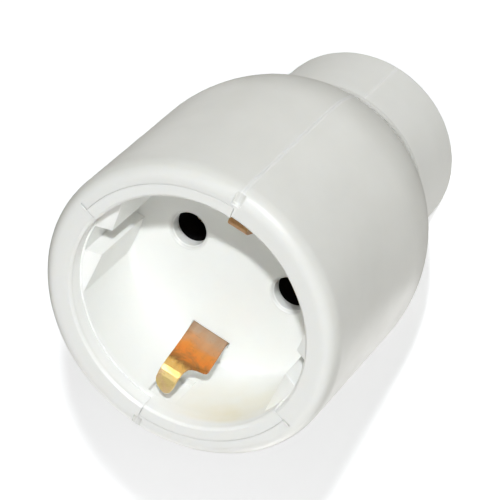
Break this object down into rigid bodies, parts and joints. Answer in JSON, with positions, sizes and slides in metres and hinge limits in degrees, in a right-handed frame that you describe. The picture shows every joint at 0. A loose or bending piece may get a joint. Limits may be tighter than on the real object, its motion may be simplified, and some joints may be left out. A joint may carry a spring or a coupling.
{
  "type": "inline socket connector",
  "caption": "White inline mains socket: round barrel with a recessed mouth, pin holes and side earth clips, narrowing to a screw-on rear collar with a cable inlet.",
  "frame": {"origin": "centre of the collar's flat rear end face, on which the connector stands", "axes": "+Z towards the mouth along the barrel's axis, X along the line through the pin holes, Y along the line through the earth clips"},
  "size_m": [0.0496, 0.0498, 0.0657],
  "materials": {
    "shell_plastic": "moulded satin white",
    "collar_plastic": "moulded satin white",
    "insert_plastic": "moulded satin white",
    "carrier_plastic": "black moulded insulator",
    "clamp_plastic": "moulded",
    "bush_rubber": "moulded grey",
    "earth_copper": "rolled copper alloy strip",
    "contact_brass": "turned",
    "spring_steel": "bright",
    "screw_steel": "zinc plated"
  },
  "bodies": {
    "root": {"body_shell_left": "shell_plastic", "body_shell_right": "shell_plastic", "rear_collar": "collar_plastic", "cable_bush": "bush_rubber", "slip_washer": "clamp_plastic", "socket_insert": "insert_plastic", "contact_carrier": "carrier_plastic", "carrier_screws": "screw_steel", "line_contact": "contact_brass", "neutral_contact": "contact_brass", "line_contact_spring": "spring_steel", "neutral_contact_spring": "spring_steel", "line_terminal": "contact_brass", "neutral_terminal": "contact_brass", "terminal_screws": "screw_steel", "earth_strap": "earth_copper", "earth_terminal": "contact_brass", "earth_screw": "screw_steel", "cord_clamp_bar": "clamp_plastic", "cord_clamp_screws": "screw_steel"}
  },
  "joints": []
}
